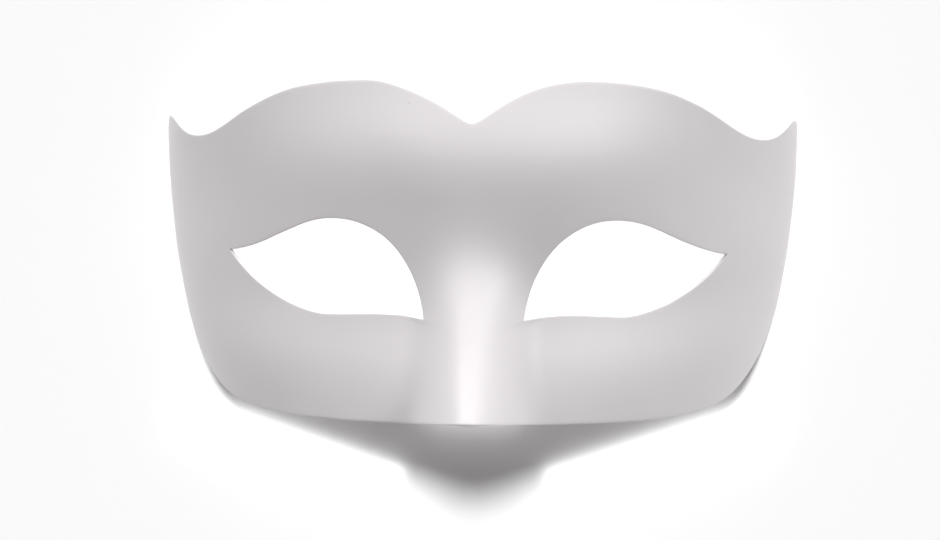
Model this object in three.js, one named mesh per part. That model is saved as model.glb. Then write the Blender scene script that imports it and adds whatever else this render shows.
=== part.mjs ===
// A blank Venetian half mask: one thin moulded papier-mache shell that covers the brow, the bridge of the
// nose and the upper cheeks, with two almond eye openings. It lies face up on its two temple edges.
// Millimetres. +X to the side, +Y towards the brow, +Z out of the face, z = 0 where the temple edges rest.

import * as THREE from 'three';
import { mergeVertices } from 'three/addons/utils/BufferGeometryUtils.js';

const WALL = 1.8;
const HALF_GIRTH = 120;      // round the face from the middle line to the temple edge
const BROW_TOP_HEIGHT = 89.6;
const CHEEK_EDGE_HEIGHT = -2.6;

// The flat pattern of one half, before it is bent round the face: the distance round from the middle line,
// and the height above the lower edge of the nose. Each point has the handles of its smooth curve, and the
// points that the faceted edge has to keep are marked as corners.
const OUTER_EDGE = [
  { at: [0, 0], before: [6, 0], corner: true },                                   // edge of the nose
  { at: [0, 78.3], after: [2.3, 0], corner: true },                               // dip over the nose
  { at: [25.5, BROW_TOP_HEIGHT], before: [-16.7, 0], after: [30.5, 0] },          // top of the brow
  { at: [80.3, 73.5], before: [-14.2, 2.7], after: [14.5, -2.7] },                // trough by the horn
  { at: [111.8, 77.8], before: [-9.2, 0], after: [5, 0], corner: true },          // tip of the horn
  { at: [HALF_GIRTH, 69], before: [0, 6], corner: true },                         // top of the temple edge
  { at: [HALF_GIRTH, 33], after: [0, -10.4], corner: true },                      // foot of the temple edge
  { at: [72.9, -1.3], before: [30, 2.9], after: [-13.8, -1.5] },                  // under the cheek
  { at: [19.7, CHEEK_EDGE_HEIGHT], before: [18, 0], after: [-7.5, 0] },           // beside the nose
];
const EYE_EDGE = [
  { at: [12.2, 25.4], before: [0.6, 10.3], after: [9.6, 2.2], corner: true },     // inner corner
  { at: [38.8, 25.9], before: [-8, 0], after: [8, 0] },                           // lower lid
  { at: [72, 41.7], before: [-10.1, -10.3], after: [-18.8, 2], corner: true },    // outer corner
  { at: [34.3, 52], before: [11.9, 0], after: [-15.8, 0] },                       // upper lid
];
const EYE_MIDDLE = new THREE.Vector2(39, 38);

// Sizes of the face form at even heights, from FIRST_STATION up. Between them it is a fair curve.
const FIRST_STATION = -14;
const STATION_STEP = 14;
const HALF_WIDTHS = [73.1, 77.6, 81.5, 84.8, 87.2, 88.5, 89.2, 89.3, 89];
const FACE_DEPTHS = [56, 56, 55, 51.5, 52.5, 54.5, 55.5, 51, 47.5];
const NOSE_RISES = [28, 19.5, 12, 8.5, 1, 0, 0, 0, 0];
const NOSE_HALF_WIDTHS = [22, 21, 20, 20, 21, 21, 21, 21, 21];

// How full the level sections are: the share of the width, and at each height of the depth, that the
// handles of the curve reach. The temples are hollow beside the brow.
const FRONT_FULLNESS = 0.54;
const SIDE_FULLNESS = [0.52, 0.5, 0.48, 0.42, 0.35, 0.27, 0.26, 0.38, 0.52];
const TEMPLE_DRAFT = 0.97;   // the sides open a little towards the back, so the shell leaves its mould

// Fineness of the faceted solid
const SPOKES = 100;
const RINGS = 11;
const RING_CROWDING = 1.5;   // over 1, the rings stand closer towards the nose's ridge and the outer edge
const POINTS_PER_CURVE = 60;
const SLOPE_STEP = 0.05;     // either way, to measure how the outside slopes
const SAME_POINT = 0.001;    // points nearer than this are one point

// A uniform cubic B-spline led by the stations, so width, depth and nose change without a kink.
function sizeAt(stations, height) {
  const place = (height - FIRST_STATION) / STATION_STEP;
  const index = THREE.MathUtils.clamp(Math.floor(place), 0, stations.length - 2);
  const u = place - index;
  const here = stations[index];
  const next = stations[index + 1];
  const last = stations[index - 1] ?? 2 * here - next;
  const beyond = stations[index + 2] ?? 2 * next - here;
  return (
    last * (1 - u) ** 3 +
    here * (3 * u ** 3 - 6 * u ** 2 + 4) +
    next * (-3 * u ** 3 + 3 * u ** 2 + 3 * u + 1) +
    beyond * u ** 3
  ) / 6;
}

// One level section of the shell's outside, from the middle line (share 0) to the temple edge (share 1),
// with the nose added as a ridge whose flanks run out into the cheeks.
function outside(round, height) {
  const width = sizeAt(HALF_WIDTHS, height);
  const depth = sizeAt(FACE_DEPTHS, height);
  const section = new THREE.CubicBezierCurve(
    new THREE.Vector2(0, depth),
    new THREE.Vector2(FRONT_FULLNESS * width, depth),
    new THREE.Vector2(TEMPLE_DRAFT * width, sizeAt(SIDE_FULLNESS, height) * depth),
    new THREE.Vector2(width, 0),
  );
  const point = section.getPoint(Math.abs(round) / HALF_GIRTH);
  const flank = Math.min(point.x / sizeAt(NOSE_HALF_WIDTHS, height), 1);
  const nose = sizeAt(NOSE_RISES, height) * (1 - flank ** 2) ** 3;
  return new THREE.Vector3(Math.sign(round) * point.x, height, point.y + nose);
}

// The inside lies one wall thickness below the outside, and rests on the same plane.
function inside(round, height) {
  const along = outside(round + SLOPE_STEP, height).sub(outside(round - SLOPE_STEP, height));
  const up = outside(round, height + SLOPE_STEP).sub(outside(round, height - SLOPE_STEP));
  const outward = along.cross(up).normalize();
  const point = outside(round, height).addScaledVector(outward, -WALL);
  point.z = Math.max(point.z, 0);
  return point;
}

// Draws a closed outline through its points, as a list of close points with its corners kept.
function drawEdge(points) {
  const path = new THREE.Path();
  path.moveTo(...points[0].at);
  points.forEach((from, index) => {
    const to = points[(index + 1) % points.length];
    if (from.after && to.before) {
      const out = [from.at[0] + from.after[0], from.at[1] + from.after[1]];
      const into = [to.at[0] + to.before[0], to.at[1] + to.before[1]];
      path.bezierCurveTo(...out, ...into, ...to.at);
    } else {
      for (let k = 1; k <= POINTS_PER_CURVE; k += 1) {
        const share = k / POINTS_PER_CURVE;
        path.lineTo(
          THREE.MathUtils.lerp(from.at[0], to.at[0], share),
          THREE.MathUtils.lerp(from.at[1], to.at[1], share),
        );
      }
    }
  });
  return path.getPoints(POINTS_PER_CURVE);
}

const angleOf = (point) => Math.atan2(point.y - EYE_MIDDLE.y, point.x - EYE_MIDDLE.x);

// The point where a ray from the middle of the eye crosses an outline
function crossing(outline, angle) {
  const ray = new THREE.Vector2(Math.cos(angle), Math.sin(angle));
  for (let k = 1; k < outline.length; k += 1) {
    const a = outline[k - 1].clone().sub(EYE_MIDDLE);
    const b = outline[k].clone().sub(EYE_MIDDLE);
    const sideA = ray.cross(a);
    const sideB = ray.cross(b);
    if (sideA * sideB <= 0 && sideA !== sideB && ray.dot(a) > 0) {
      return outline[k - 1].clone().lerp(outline[k], sideA / (sideA - sideB));
    }
  }
  throw new Error('the outline is open');
}

// Spokes are spaced evenly along the outer edge as it lies on the face, and the nearest one is moved onto
// each corner.
function spokeAngles(outline, corners) {
  const bent = outline.map((point) => outside(point.x, point.y));
  const walked = [0];
  for (let k = 1; k < bent.length; k += 1) {
    walked.push(walked[k - 1] + bent[k].distanceTo(bent[k - 1]));
  }
  const angles = [];
  let next = 1;
  for (let spoke = 0; spoke < SPOKES; spoke += 1) {
    const target = (walked.at(-1) * spoke) / SPOKES;
    while (walked[next] <= target) {
      next += 1;
    }
    const share = (target - walked[next - 1]) / (walked[next] - walked[next - 1]);
    angles.push(angleOf(outline[next - 1].clone().lerp(outline[next], share)));
  }
  for (const corner of corners) {
    const target = angleOf(new THREE.Vector2(...corner.at));
    const gaps = angles.map((angle) => Math.abs(angle - target));
    angles[gaps.indexOf(Math.min(...gaps))] = target;
  }
  return angles;
}

// One half as a web of spokes and rings from the eye opening out to the edge, on both faces of the wall
function halfShell(side) {
  const outer = drawEdge(OUTER_EDGE);
  const eye = drawEdge(EYE_EDGE);
  const corners = [...EYE_EDGE, ...OUTER_EDGE].filter((point) => point.corner);
  const angles = spokeAngles(outer, corners);
  const positions = [];
  for (const face of [outside, inside]) {
    for (const angle of angles) {
      const from = crossing(eye, angle);
      const to = crossing(outer, angle);
      to.x = to.x < SAME_POINT ? 0 : to.x;
      for (let ring = 0; ring <= RINGS; ring += 1) {
        const spot = from.clone().lerp(to, 1 - (1 - ring / RINGS) ** RING_CROWDING);
        const point = face(spot.x, spot.y);
        positions.push(side * point.x, point.y, point.z);
      }
    }
  }
  const perFace = SPOKES * (RINGS + 1);
  const vertex = (face, spoke, ring) => face * perFace + (spoke % SPOKES) * (RINGS + 1) + ring;
  const onMiddle = (spoke) => positions[3 * vertex(0, spoke, RINGS)] === 0;
  const triangles = [];
  const quad = (a, b, c, d) => {
    triangles.push(...(side > 0 ? [a, c, b, a, d, c] : [a, b, c, a, c, d]));
  };
  for (let spoke = 0; spoke < SPOKES; spoke += 1) {
    for (let ring = 0; ring < RINGS; ring += 1) {
      quad(
        vertex(0, spoke, ring), vertex(0, spoke, ring + 1),
        vertex(0, spoke + 1, ring + 1), vertex(0, spoke + 1, ring),
      );
      quad(
        vertex(1, spoke, ring), vertex(1, spoke + 1, ring),
        vertex(1, spoke + 1, ring + 1), vertex(1, spoke, ring + 1),
      );
    }
    quad(vertex(0, spoke, 0), vertex(0, spoke + 1, 0), vertex(1, spoke + 1, 0), vertex(1, spoke, 0));
    if (!(onMiddle(spoke) && onMiddle(spoke + 1))) {
      quad(
        vertex(0, spoke, RINGS), vertex(1, spoke, RINGS),
        vertex(1, spoke + 1, RINGS), vertex(0, spoke + 1, RINGS),
      );
    }
  }
  return { positions, triangles };
}

// The two halves meet on the middle line, where their points are the same and are merged.
function maskGeometry() {
  const left = halfShell(-1);
  const right = halfShell(1);
  const offset = left.positions.length / 3;
  const geometry = new THREE.BufferGeometry();
  geometry.setAttribute(
    'position',
    new THREE.Float32BufferAttribute([...left.positions, ...right.positions], 3),
  );
  geometry.setIndex([...left.triangles, ...right.triangles.map((index) => index + offset)]);
  const merged = mergeVertices(geometry, SAME_POINT);
  merged.computeVertexNormals();
  return merged;
}

const primedPaper = new THREE.MeshStandardMaterial({ color: '#e6e3e1', roughness: 0.5, metalness: 0 });

const maskShell = new THREE.Mesh(maskGeometry(), primedPaper);
maskShell.name = 'mask_shell';
maskShell.position.y = -(BROW_TOP_HEIGHT + CHEEK_EDGE_HEIGHT) / 2;

const mask = new THREE.Group();
mask.add(maskShell);

export default mask;
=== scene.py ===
import math

import bpy
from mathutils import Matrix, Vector


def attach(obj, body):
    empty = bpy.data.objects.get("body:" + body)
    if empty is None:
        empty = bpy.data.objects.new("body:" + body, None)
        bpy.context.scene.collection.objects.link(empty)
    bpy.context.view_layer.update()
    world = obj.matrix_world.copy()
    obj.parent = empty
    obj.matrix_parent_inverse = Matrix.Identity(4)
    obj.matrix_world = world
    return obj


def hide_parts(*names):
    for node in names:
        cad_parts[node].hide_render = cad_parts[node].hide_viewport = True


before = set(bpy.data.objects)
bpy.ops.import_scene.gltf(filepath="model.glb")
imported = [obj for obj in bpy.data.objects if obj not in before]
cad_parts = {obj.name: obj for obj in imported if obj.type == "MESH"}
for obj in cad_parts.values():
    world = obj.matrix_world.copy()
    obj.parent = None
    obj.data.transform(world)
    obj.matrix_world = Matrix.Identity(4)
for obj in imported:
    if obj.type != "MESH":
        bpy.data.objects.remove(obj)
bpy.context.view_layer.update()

IMAGE_WIDTH = 940                      # pixels
FOCAL_LENGTH = 3268.5                  # pixels
FILM_WIDTH = 36.0                      # millimetres
CAMERA_DISTANCE = 0.900                # metres, from the point it is aimed at
CAMERA_AIM = Vector((-0.0020, -0.0066, 0.030))
CAMERA_LEAN = math.radians(5)          # from straight above, towards the brow
CAMERA_SWING = math.radians(2.13)      # towards the right temple
CAMERA_ROLL = math.radians(0.395)

camera_data = bpy.data.cameras.new("camera")
camera_data.sensor_width = FILM_WIDTH
camera_data.lens = FOCAL_LENGTH * FILM_WIDTH / IMAGE_WIDTH
camera = bpy.data.objects.new("camera", camera_data)
camera.rotation_mode = "ZXY"
camera.rotation_euler = (-CAMERA_LEAN, CAMERA_SWING, CAMERA_ROLL)
towards_camera = camera.rotation_euler.to_matrix() @ Vector((0, 0, 1))
camera.location = CAMERA_AIM + CAMERA_DISTANCE * towards_camera
bpy.context.scene.collection.objects.link(camera)
bpy.context.scene.camera = camera


# The mask shell is one skin of papier-mache, pressed in a hollow mould, dried, and trimmed by
# hand with a knife along the brow, the cheeks and the two eye openings. Its face is primed white
# and rubbed smooth, and its hollow is left as pressed paper.
import bmesh
import numpy as np
from mathutils import geometry, kdtree, noise

# The pattern of one half in millimetres, before it is bent round the face: for each point, the
# distance round from the middle line and the height above the nose edge, and the handles of the
# curve before and after it.
HALF_GIRTH = 120.0
BROW_TOP_HEIGHT = 89.6
CHEEK_EDGE_HEIGHT = -2.6
OUTER_EDGE = [
    ((0, 0), (6, 0), (0, 0)),                              # edge of the nose
    ((0, 78.3), (0, 0), (2.3, 0)),                         # dip over the nose
    ((25.5, BROW_TOP_HEIGHT), (-16.7, 0), (30.5, 0)),      # top of the brow
    ((80.3, 73.5), (-14.2, 2.7), (14.5, -2.7)),            # trough by the horn
    ((111.8, 77.8), (-9.2, 0), (5, 0)),                    # tip of the horn
    ((HALF_GIRTH, 69), (0, 6), (0, 0)),                    # top of the temple edge
    ((HALF_GIRTH, 33), (0, 0), (0, -10.4)),                # foot of the temple edge
    ((72.9, -1.3), (30, 2.9), (-13.8, -1.5)),              # under the cheek
    ((19.7, CHEEK_EDGE_HEIGHT), (18, 0), (-7.5, 0)),       # beside the nose
]
EYE_EDGE = [
    ((12.2, 25.4), (0.6, 10.3), (9.6, 2.2)),               # inner corner
    ((38.8, 25.9), (-8, 0), (8, 0)),                       # lower lid
    ((72, 41.7), (-10.1, -10.3), (-18.8, 2)),              # outer corner
    ((34.3, 52), (11.9, 0), (-15.8, 0)),                   # upper lid
]
SHARP_POINTS = (OUTER_EDGE[0], OUTER_EDGE[1], OUTER_EDGE[4], EYE_EDGE[0], EYE_EDGE[2])
EYE_MIDDLE = Vector((39, 38))
CURVE_STEPS = 120

# Sizes of the face form in millimetres, at even heights from the first station up
FIRST_STATION = -14.0
STATION_STEP = 14.0
HALF_WIDTHS = [73.1, 77.6, 81.5, 84.8, 87.2, 88.5, 89.2, 89.3, 89]
FACE_DEPTHS = [56, 56, 55, 51.5, 52.5, 54.5, 55.5, 51, 47.5]
NOSE_RISES = [28, 19.5, 12, 8.5, 1, 0, 0, 0, 0]
NOSE_HALF_WIDTHS = [22, 21, 20, 20, 21, 21, 21, 21, 21]

# How full the level sections are: the share of the width, and at each height of the depth, that
# the handles of their curve reach. The temples are hollow beside the brow.
FRONT_FULLNESS = 0.54
SIDE_FULLNESS = [0.52, 0.5, 0.48, 0.42, 0.35, 0.27, 0.26, 0.38, 0.52]
TEMPLE_DRAFT = 0.97          # the sides open towards the back, so that the shell leaves its mould

# The wall and its cut edges in millimetres, and how fine the web of the mesh is
WALL = 1.8
RIM_ROUNDING = 0.25
RIM_SEGMENTS = 3
RIM_BEND = math.radians(50)  # an edge that bends more than this is a rim
FLAT_NORMAL = 0.99           # a face whose normal is this near to upright lies flat
SPOKES = 300
RINGS = 52
MERGE = 0.001                # points nearer than this are one point
MM = 0.001                   # metres


def fair(stations, heights):
    """The sizes at some heights, on a smooth curve led by the even stations."""
    ends = [2 * stations[0] - stations[1], *stations, 2 * stations[-1] - stations[-2]]
    place = (heights - FIRST_STATION) / STATION_STEP
    index = np.clip(np.floor(place).astype(int), 0, len(stations) - 2)
    share = place - index
    last, here, following, beyond = (np.array(ends)[index + k] for k in range(4))
    return (
        last * (1 - share) ** 3
        + here * (3 * share ** 3 - 6 * share ** 2 + 4)
        + following * (-3 * share ** 3 + 3 * share ** 2 + 3 * share + 1)
        + beyond * share ** 3
    ) / 6


def on_the_face(around, heights):
    """Bends points of the pattern round the face form, and lifts the nose."""
    width = fair(HALF_WIDTHS, heights)
    depth = fair(FACE_DEPTHS, heights)
    share = np.abs(around) / HALF_GIRTH
    front, side, end = 3 * (1 - share) ** 2 * share, 3 * (1 - share) * share ** 2, share ** 3
    x = width * (front * FRONT_FULLNESS + side * TEMPLE_DRAFT + end)
    z = depth * ((1 - share) ** 3 + front + side * fair(SIDE_FULLNESS, heights))
    flank = np.minimum(x / fair(NOSE_HALF_WIDTHS, heights), 1)
    nose = fair(NOSE_RISES, heights) * (1 - flank ** 2) ** 3
    return np.column_stack([np.sign(around) * x, heights, z + nose])


def outward(around, heights, step=0.05):
    """The directions straight out of the face form."""
    along = on_the_face(around + step, heights) - on_the_face(around - step, heights)
    up = on_the_face(around, heights + step) - on_the_face(around, heights - step)
    across = np.cross(along, up)
    return across / np.linalg.norm(across, axis=1, keepdims=True)


def drawn(edge):
    """An edge as close points on its curves."""
    points = []
    for (start, _, leaving), (end, arriving, _) in zip(edge, edge[1:] + edge[:1]):
        start, end = Vector(start), Vector(end)
        curve = geometry.interpolate_bezier(
            start, start + Vector(leaving), end + Vector(arriving), end, CURVE_STEPS
        )
        points += curve[:-1]
    return np.array(points)


def reach(outline, angles):
    """How far an outline is from the middle of the eye, at each angle."""
    away = outline - EYE_MIDDLE
    around = np.arctan2(away[:, 1], away[:, 0])
    order = np.argsort(around)
    distances = np.hypot(away[:, 0], away[:, 1])
    return np.interp(angles, around[order], distances[order], period=2 * math.pi)


# The spokes of the web stand evenly along the outer edge, and one is moved to each sharp point.
outer_line = drawn(OUTER_EDGE)
eye_line = drawn(EYE_EDGE)
closed = np.vstack([outer_line, outer_line[:1]]) - EYE_MIDDLE
walked = np.concatenate([[0], np.cumsum(np.hypot(*np.diff(closed, axis=0).T))])
spots = np.linspace(0, walked[-1], SPOKES, endpoint=False)
across, up = (np.interp(spots, walked, closed[:, k]) for k in (0, 1))
angles = np.arctan2(up, across)
for place, _, _ in SHARP_POINTS:
    away = Vector(place) - EYE_MIDDLE
    sharp = math.atan2(away.y, away.x)
    angles[np.argmin(np.abs(angles - sharp))] = sharp

# The shell is first laid out flat, as a plate: a web of spokes between the eye edge and the outer
# edge, mirrored, with its cut edges rounded and its spokes divided into rings.
shell = bmesh.new()
for outline in (eye_line, outer_line):
    ring = bmesh.ops.create_circle(shell, segments=SPOKES, radius=1.0)["verts"]
    for vert, angle, radius in zip(ring, angles.tolist(), reach(outline, angles).tolist()):
        vert.co.xy = EYE_MIDDLE + Vector((math.cos(angle), math.sin(angle))) * radius
        vert.co.x = 0 if vert.co.x < MERGE else vert.co.x
bmesh.ops.bridge_loops(shell, edges=shell.edges)
half = shell.verts[:] + shell.edges[:] + shell.faces[:]
bmesh.ops.mirror(shell, geom=half, axis="X", merge_dist=MERGE)
bmesh.ops.recalc_face_normals(shell, faces=shell.faces)
if sum(face.normal.z for face in shell.faces) < 0:
    bmesh.ops.reverse_faces(shell, faces=shell.faces)
bmesh.ops.solidify(shell, geom=shell.faces[:], thickness=WALL)
shell.normal_update()
rims = [
    edge for edge in shell.edges
    if edge.calc_face_angle() > RIM_BEND and abs(edge.verts[0].co.z - edge.verts[1].co.z) < MERGE
]
bmesh.ops.bevel(
    shell, geom=rims, offset=RIM_ROUNDING, affect="EDGES", segments=RIM_SEGMENTS, profile=0.5,
    material=-1, clamp_overlap=False,
)
shell.normal_update()
spokes = [
    edge for edge in shell.edges
    if min(abs(face.normal.z) for face in edge.link_faces) > FLAT_NORMAL
    and max(abs(vert.co.x) for vert in edge.verts) > MERGE
]
bmesh.ops.subdivide_edges(shell, edges=spokes, cuts=RINGS - 1, use_grid_fill=True)

# The face and the cut edges are primed, and the hollow is bare.
PRIMED, BARE = 0, 1
for face in shell.faces:
    face.smooth = True
    face.material_index = BARE if max(vert.co.z for vert in face.verts) < MERGE - WALL else PRIMED

# The plate is bent round the face. Hand work leaves it slightly uneven: the face swells and
# sinks, the nose ridge and the dip over it lie a little to the left, the edges waver where the
# knife went, and the rims of the eye openings are rubbed thinner from behind. The hollow keeps
# the steps of the torn sheets that were pressed into the mould. Sizes are in millimetres.
SWELL = 0.12
SWELL_WIDTH = 28.0
RIDGE_SHIFT = 1.0
RIDGE_REACH = 8.0
DIP_SHIFT = 3.0
DIP_MIDDLE = -14.4
DIP_REACH = 13.6
DIP_START = 55.0             # height from which the shift goes over from the ridge's to the dip's
DIP_FULL = 75.0
WAVER = 0.12
WAVER_WIDTH = 9.0
WAVER_SEED = 1               # keeps the waver the same each time the mask is made
TRIMMED = 3.0                # how far in from a cut edge the knife and the rubbing reach
THINNED = 0.45               # share of the wall rubbed away behind the rims of the eye openings
SHEET_SIZE = 19.0
SHEET_STEP = 0.22
SHEET_SPREAD = 7.3           # draws the sheets' middles apart, so that each has its own tone

noise.seed_set(WAVER_SEED)
cut_line = [point for point in [*eye_line.tolist(), *outer_line.tolist()] if point[0] > 0]
cuts = kdtree.KDTree(len(cut_line))
for index, (around, height) in enumerate(cut_line):
    cuts.insert((around, height, 0), index)
cuts.balance()
flat = np.array([vert.co for vert in shell.verts])
ways_out = outward(flat[:, 0], flat[:, 1])
bent = on_the_face(flat[:, 0], flat[:, 1]) + flat[:, 2:] * ways_out
tone = shell.verts.layers.float.new("sheet")
for vert, place, way_out in zip(shell.verts, bent.tolist(), ways_out.tolist()):
    around, height, level = vert.co      # level is 0 on the face and -WALL in the hollow
    _, nearest, distance = cuts.find((abs(around), height, 0))
    rubbed = math.exp(-(distance / TRIMMED) ** 2)
    thinned = -level * THINNED * rubbed if nearest < len(eye_line) else 0
    place, way_out = Vector(place), Vector(way_out)
    x, y = place.xy
    dip = min(max((y - DIP_START) / (DIP_FULL - DIP_START), 0), 1)
    waver = WAVER * rubbed * noise.noise_vector(place / WAVER_WIDTH)
    sheet_middle = noise.voronoi(place / SHEET_SIZE)[1][0]
    sheet = noise.cell(sheet_middle * SHEET_SPREAD)
    step = SHEET_STEP * (sheet - 0.5) * -level / WALL * (1 - rubbed)
    place += (SWELL * noise.noise(place / SWELL_WIDTH) + step + thinned) * way_out
    place.xy += waver.xy
    place.x -= (1 - dip) * RIDGE_SHIFT * math.exp(-(x / RIDGE_REACH) ** 2)
    place.x -= dip * DIP_SHIFT * math.exp(-((x - DIP_MIDDLE) / DIP_REACH) ** 2)
    vert[tone] = sheet
    vert.co = (place.x, place.y, max(place.z, 0))

height_of_middle = (BROW_TOP_HEIGHT + CHEEK_EDGE_HEIGHT) / 2
bmesh.ops.translate(shell, vec=(0, -height_of_middle, 0), verts=shell.verts)
bmesh.ops.scale(shell, vec=(MM, MM, MM), verts=shell.verts)
mask_mesh = bpy.data.meshes.new("papier_mache_mask")
shell.to_mesh(mask_mesh)
shell.free()
mask = bpy.data.objects.new("papier_mache_mask", mask_mesh)
bpy.context.scene.collection.objects.link(mask)


def linear(hex_colour):
    """An sRGB hex colour as linear red, green, blue and alpha."""
    parts = [int(hex_colour[k:k + 2], 16) / 255 for k in (1, 3, 5)]
    return [c / 12.92 if c <= 0.04045 else ((c + 0.055) / 1.055) ** 2.4 for c in parts] + [1.0]


def add(tree, kind, inputs, **settings):
    """Adds a node. Inputs are values or other nodes' outputs, by the socket's name or number."""
    node = tree.nodes.new(kind)
    for name, value in settings.items():
        setattr(node, name, value)
    for socket, value in inputs.items():
        if isinstance(value, bpy.types.NodeSocket):
            tree.links.new(value, node.inputs[socket])
        else:
            node.inputs[socket].default_value = value
    return node


# A Mix node's sockets for colours go by number, because its other sockets have the same names.
COLOUR_A, COLOUR_B, MIXED_COLOUR = 6, 7, 2

# White primer, brushed on the paper and rubbed down: a satin that blurs every reflection, faintly
# clouded where it lies thicker, finely grained, with a speck of dirt on the left of the brow.
PRIMER_SHADE = "#e4e0e1"
PRIMER_LIGHT = "#ebe7e8"
CLOUD_WIDTH = 30 * MM
GRAIN_WIDTH = 1.2 * MM       # coarser than the real grain, which is too fine to show
GRAIN_DEPTH = 0.1 * MM
DIRT = "#8f8a88"
SPECK_PLACE = (-0.0178, 0.0399, 0.0499)
SPECK_CORE = 0.2 * MM
SPECK_EDGE = 0.5 * MM


def primed_papier_mache():
    """The finish of the face and of the cut edges."""
    material = bpy.data.materials.new("primed_papier_mache")
    material.use_nodes = True
    tree = material.node_tree
    tree.nodes.clear()
    place = add(tree, "ShaderNodeTexCoord", {}).outputs["Object"]
    cloud = add(tree, "ShaderNodeTexNoise", {
        "Vector": place, "Scale": 1 / CLOUD_WIDTH, "Detail": 3.0,
    })
    white = add(tree, "ShaderNodeMix", {
        "Factor": cloud.outputs["Fac"],
        COLOUR_A: linear(PRIMER_SHADE), COLOUR_B: linear(PRIMER_LIGHT),
    }, data_type="RGBA")
    from_speck = add(tree, "ShaderNodeVectorMath", {
        0: place, 1: SPECK_PLACE,
    }, operation="DISTANCE")
    clean = add(tree, "ShaderNodeMapRange", {
        "Value": from_speck.outputs["Value"], "From Min": SPECK_CORE, "From Max": SPECK_EDGE,
    })
    colour = add(tree, "ShaderNodeMix", {
        "Factor": clean.outputs["Result"],
        COLOUR_A: linear(DIRT), COLOUR_B: white.outputs[MIXED_COLOUR],
    }, data_type="RGBA")
    grain = add(tree, "ShaderNodeTexNoise", {
        "Vector": place, "Scale": 1 / GRAIN_WIDTH, "Detail": 4.0,
    })
    rough = add(tree, "ShaderNodeMapRange", {
        "Value": grain.outputs["Fac"], "To Min": 0.42, "To Max": 0.54,
    })
    bump = add(tree, "ShaderNodeBump", {
        "Height": grain.outputs["Fac"], "Strength": 0.12, "Distance": GRAIN_DEPTH,
    })
    shader = add(tree, "ShaderNodeBsdfPrincipled", {
        "Base Color": colour.outputs[MIXED_COLOUR], "Roughness": rough.outputs["Result"],
        "Normal": bump.outputs["Normal"], "IOR": 1.5,
    })
    add(tree, "ShaderNodeOutputMaterial", {"Surface": shader.outputs["BSDF"]})
    return material


# The bare paper of the hollow: matt, so that it shows no highlights, flecked with fibres, and
# each torn sheet a little different in colour.
PAPER_SHADE = "#d2cdce"
PAPER_LIGHT = "#dcd8d8"
FIBRE_SHADE = "#cac4c3"
FIBRE_WIDTH = 1.5 * MM       # coarser than real fibres, which are too fine to show
FIBRE_DEPTH = 0.2 * MM


def pressed_paper():
    """The finish of the hollow."""
    material = bpy.data.materials.new("pressed_paper")
    material.use_nodes = True
    tree = material.node_tree
    tree.nodes.clear()
    place = add(tree, "ShaderNodeTexCoord", {}).outputs["Object"]
    sheet = add(tree, "ShaderNodeAttribute", {}, attribute_name="sheet")
    paper = add(tree, "ShaderNodeMix", {
        "Factor": sheet.outputs["Fac"],
        COLOUR_A: linear(PAPER_SHADE), COLOUR_B: linear(PAPER_LIGHT),
    }, data_type="RGBA")
    fibre = add(tree, "ShaderNodeTexNoise", {
        "Vector": place, "Scale": 1 / FIBRE_WIDTH, "Detail": 5.0,
    })
    flecks = add(tree, "ShaderNodeMapRange", {
        "Value": fibre.outputs["Fac"], "From Min": 0.3, "From Max": 0.55,
    })
    colour = add(tree, "ShaderNodeMix", {
        "Factor": flecks.outputs["Result"],
        COLOUR_A: linear(FIBRE_SHADE), COLOUR_B: paper.outputs[MIXED_COLOUR],
    }, data_type="RGBA")
    bump = add(tree, "ShaderNodeBump", {
        "Height": fibre.outputs["Fac"], "Strength": 0.4, "Distance": FIBRE_DEPTH,
    })
    shader = add(tree, "ShaderNodeBsdfPrincipled", {
        "Base Color": colour.outputs[MIXED_COLOUR], "Roughness": 0.85,
        "Normal": bump.outputs["Normal"], "IOR": 1.5,
    })
    add(tree, "ShaderNodeOutputMaterial", {"Surface": shader.outputs["BSDF"]})
    return material


mask_mesh.materials.append(primed_papier_mache())
mask_mesh.materials.append(pressed_paper())
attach(mask, "root")
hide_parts("mask_shell")


# The floor is a sheet of matt white card, laid flat under the mask and far wider than it. It
# isn't part of the object.
FLOOR_HALF = 3.0             # metres, from its middle to each edge
CARD_WHITE = "#f4f4f4"

card = bmesh.new()
bmesh.ops.create_grid(card, x_segments=1, y_segments=1, size=FLOOR_HALF)
floor_mesh = bpy.data.meshes.new("floor")
card.to_mesh(floor_mesh)
card.free()
floor = bpy.data.objects.new("floor", floor_mesh)
bpy.context.scene.collection.objects.link(floor)
matt = bpy.data.materials.new("matt_white_card")
matt.use_nodes = True
surface = matt.node_tree.nodes["Principled BSDF"]
surface.inputs["Base Color"].default_value = linear(CARD_WHITE)
surface.inputs["Roughness"].default_value = 1.0
surface.inputs["Specular IOR Level"].default_value = 0.0
floor_mesh.materials.append(matt)


# Soft studio light. Large windows beyond the brow and to the right light the mask, and a little
# comes back from the pale room. A lamp overhead brings the floor to white and throws the nose's
# shadow on it, and weak panels brighten it under the eye openings and round that shadow.
ROOM_STRENGTH = 0.14

scene = bpy.context.scene
scene.view_settings.view_transform = "Standard"
world = bpy.data.worlds.new("pale_room")
world.use_nodes = True
background = world.node_tree.nodes["Background"]
background.inputs["Color"].default_value = (1, 1, 1, 1)
background.inputs["Strength"].default_value = ROOM_STRENGTH
scene.world = world


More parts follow.
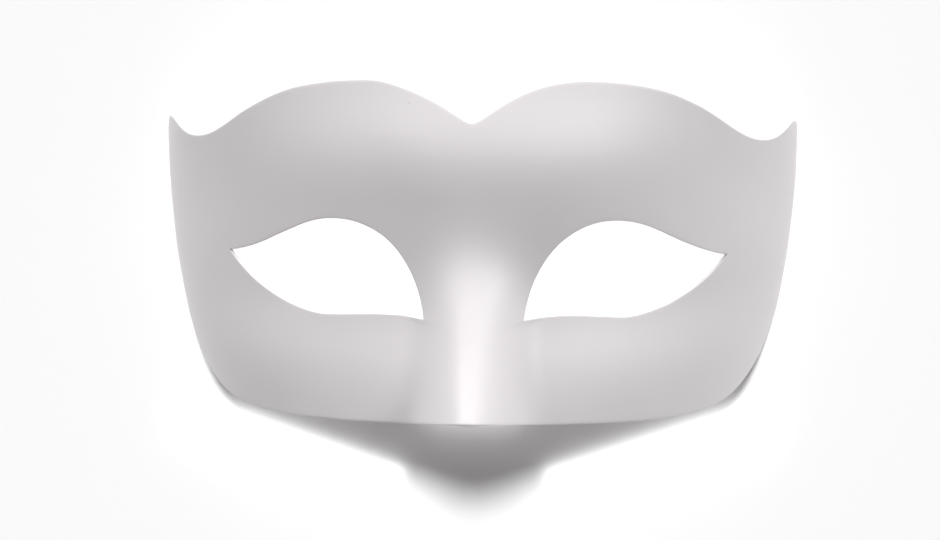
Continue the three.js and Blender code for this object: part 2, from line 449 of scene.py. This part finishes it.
def lamp(name, kind, only, **settings):
    """Adds a lamp that shines on one object alone, and that the camera doesn't see."""
    data = bpy.data.lights.new(name, kind)
    for key, value in settings.items():
        setattr(data, key, value)
    made = bpy.data.objects.new(name, data)
    scene.collection.objects.link(made)
    lit = bpy.data.collections.new("lit_by_" + name)
    lit.objects.link(only)
    made.light_linking.receiver_collection = lit
    made.visible_camera = False
    return made


def sun(name, only, energy, spread, azimuth, elevation):
    """Adds a far lamp. Its spread, azimuth (from +Y towards +X) and elevation are in degrees."""
    made = lamp(name, "SUN", only, energy=energy, angle=math.radians(spread))
    azimuth, elevation = math.radians(azimuth), math.radians(elevation)
    level = math.cos(elevation)
    towards_lamp = Vector((
        math.sin(azimuth) * level, math.cos(azimuth) * level, math.sin(elevation),
    ))
    made.rotation_euler = towards_lamp.to_track_quat("Z", "Y").to_euler()


def panel(name, energy, length, width, place, turn=0):
    """Adds a low flat lamp that faces down on the floor, turned by some degrees."""
    made = lamp(name, "AREA", floor, energy=energy, shape="RECTANGLE", size=length, size_y=width)
    made.location = place
    made.rotation_euler.z = math.radians(turn)


sun("window_low", mask, energy=2.36, spread=25, azimuth=0, elevation=4)
sun("window_left", mask, energy=1.57, spread=25, azimuth=-30, elevation=14)
sun("window_right", mask, energy=1.60, spread=25, azimuth=60, elevation=42)
sun("room", mask, energy=0.53, spread=25, azimuth=210, elevation=14)
sun("overhead", floor, energy=3.10, spread=9, azimuth=1.5, elevation=67)

SHADOW_MIDDLE = -0.0015      # the nose ridge lies a little to the left, and so does its shadow
CHEEK_TURN = 19              # degrees, along the slanting edge of the shadow
for side in (-1, 1):
    eye_place = (side * 0.040 + SHADOW_MIDDLE, -0.0115, 0.008)
    cheek_place = (side * 0.0525 + SHADOW_MIDDLE, -0.0611, 0.0028)
    panel("eye_panel", energy=0.0090, length=0.060, width=0.037, place=eye_place)
    panel(
        "cheek_panel", energy=0.0038, length=0.065, width=0.012, place=cheek_place,
        turn=side * CHEEK_TURN,
    )
nose_place = (SHADOW_MIDDLE, -0.0495, 0.0060)
panel("nose_panel", energy=0.00055, length=0.026, width=0.008, place=nose_place)
